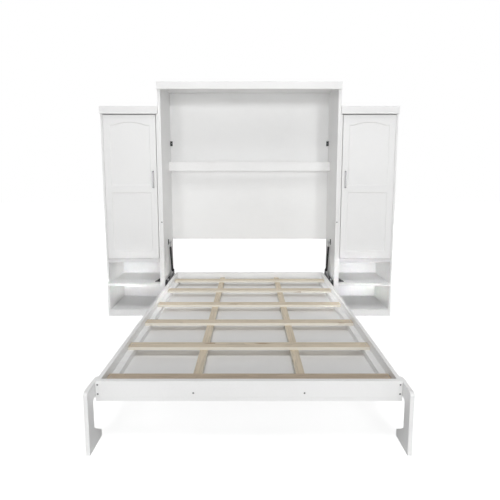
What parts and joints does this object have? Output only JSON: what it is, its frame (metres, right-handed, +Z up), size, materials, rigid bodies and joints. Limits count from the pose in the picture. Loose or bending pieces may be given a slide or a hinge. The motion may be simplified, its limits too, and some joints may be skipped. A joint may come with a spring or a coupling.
{
  "type": "wall bed",
  "caption": "White fold-down wall bed with slatted frame, swinging boot-shaped legs and gas springs, between side cabinets with arched panel doors and open shelves.",
  "frame": {"origin": "floor level, at the middle of the footprint of the lowered bed and its cabinets", "axes": "+X along the wall to the right as one faces the bed, +Y towards the wall, +Z up"},
  "size_m": [2.812, 2.237, 2.265],
  "materials": {
    "white_boards": "satin white lacquer",
    "back_sheets": "smooth white sheet",
    "pine": "bare planed pine",
    "black_steel": "satin black paint",
    "bright_steel": "zinc-plated steel",
    "handle_metal": "brushed nickel"
  },
  "bodies": {
    "cabinet": {"back_panel_lower_left": "back_sheets", "back_panel_lower_right": "back_sheets", "back_panel_upper": "back_sheets", "bottom_boards": "white_boards", "ceiling_board": "white_boards", "door_shelf_left": "white_boards", "door_shelf_right": "white_boards", "hinge_arms": "bright_steel", "inner_panel_left": "white_boards", "inner_panel_right": "white_boards", "lower_side_panel_left": "white_boards", "lower_side_panel_right": "white_boards", "mid_rail": "white_boards", "open_shelf_left": "white_boards", "open_shelf_right": "white_boards", "outer_panel_left": "white_boards", "outer_panel_right": "white_boards", "panel_connectors": "black_steel", "pivot_pins": "bright_steel", "pivot_plates": "black_steel", "shelf_gussets": "black_steel", "side_back_panels": "back_sheets", "side_top_slab_left": "white_boards", "side_top_slab_right": "white_boards", "spring_brackets": "black_steel", "toe_rails": "white_boards", "top_rail": "white_boards", "top_slab": "white_boards", "upper_side_panel_left": "white_boards", "upper_side_panel_right": "white_boards", "wall_brackets": "black_steel"},
    "door_left": {"door_left": "white_boards", "handle_left": "handle_metal", "hinge_cups_left": "bright_steel"},
    "door_right": {"door_right": "white_boards", "handle_right": "handle_metal", "hinge_cups_right": "bright_steel"},
    "bed": {"side_rail_left": "white_boards", "side_rail_right": "white_boards", "front_rail": "white_boards", "rear_rail": "white_boards", "face_panel": "white_boards", "cleats": "white_boards", "bearers": "pine", "slat_1": "pine", "slat_2": "pine", "slat_3": "pine", "slat_4": "pine", "slat_5": "pine", "slat_6": "pine", "rail_screws": "bright_steel", "leg_bolts": "bright_steel", "lift_arms": "black_steel"},
    "leg_left": {"leg_left": "white_boards"},
    "leg_right": {"leg_right": "white_boards"},
    "rod_left": {"spring_rod_left": "bright_steel"},
    "rod_right": {"spring_rod_right": "bright_steel"},
    "tube_left": {"spring_tube_left": "black_steel"},
    "tube_right": {"spring_tube_right": "black_steel"}
  },
  "joints": [
    {"name": "bed_lift", "type": "hinge", "parent": "cabinet", "child": "bed", "pos_m": [0, 0.8015, 0.34], "axis": [-1, 0, 0], "range_deg": [0, 90]},
    {"name": "door_left_swing", "type": "hinge", "parent": "cabinet", "child": "door_left", "pos_m": [-1.385, 0.6975, 1.28], "axis": [0, 0, -1], "range_deg": [0, 100]},
    {"name": "door_right_swing", "type": "hinge", "parent": "cabinet", "child": "door_right", "pos_m": [1.385, 0.6975, 1.28], "axis": [0, 0, 1], "range_deg": [0, 100]},
    {"name": "leg_left_swing", "type": "hinge", "parent": "bed", "child": "leg_left", "pos_m": [-0.813, -0.9815, 0.3], "axis": [-1, 0, 0], "range_deg": [-90, 0]},
    {"name": "spring_left_swing", "type": "hinge", "parent": "cabinet", "child": "rod_left", "pos_m": [-0.818, 0.8935, 0.716], "axis": [-1, 0, 0], "range_deg": [0, 17.07]},
    {"name": "spring_left_stroke", "type": "slide", "parent": "rod_left", "child": "tube_left", "axis": [0, 0.2275, -0.9738], "range_m": [0, 0.2148]},
    {"name": "leg_right_swing", "type": "hinge", "parent": "bed", "child": "leg_right", "pos_m": [0.813, -0.9815, 0.3], "axis": [-1, 0, 0], "range_deg": [-90, 0]},
    {"name": "spring_right_swing", "type": "hinge", "parent": "cabinet", "child": "rod_right", "pos_m": [0.818, 0.8935, 0.716], "axis": [-1, 0, 0], "range_deg": [0, 17.07]},
    {"name": "spring_right_stroke", "type": "slide", "parent": "rod_right", "child": "tube_right", "axis": [0, 0.2275, -0.9738], "range_m": [0, 0.2148]}
  ],
  "couplings": [
    {"joint": "leg_left_swing", "follows": "bed_lift", "ratio": -1},
    {"joint": "spring_left_swing", "follows": "bed_lift", "ratio": 0.18943},
    {"joint": "spring_left_stroke", "follows": "bed_lift", "m_per_rad": 0.13663},
    {"joint": "leg_right_swing", "follows": "bed_lift", "ratio": -1},
    {"joint": "spring_right_swing", "follows": "bed_lift", "ratio": 0.18943},
    {"joint": "spring_right_stroke", "follows": "bed_lift", "m_per_rad": 0.13663}
  ]
}
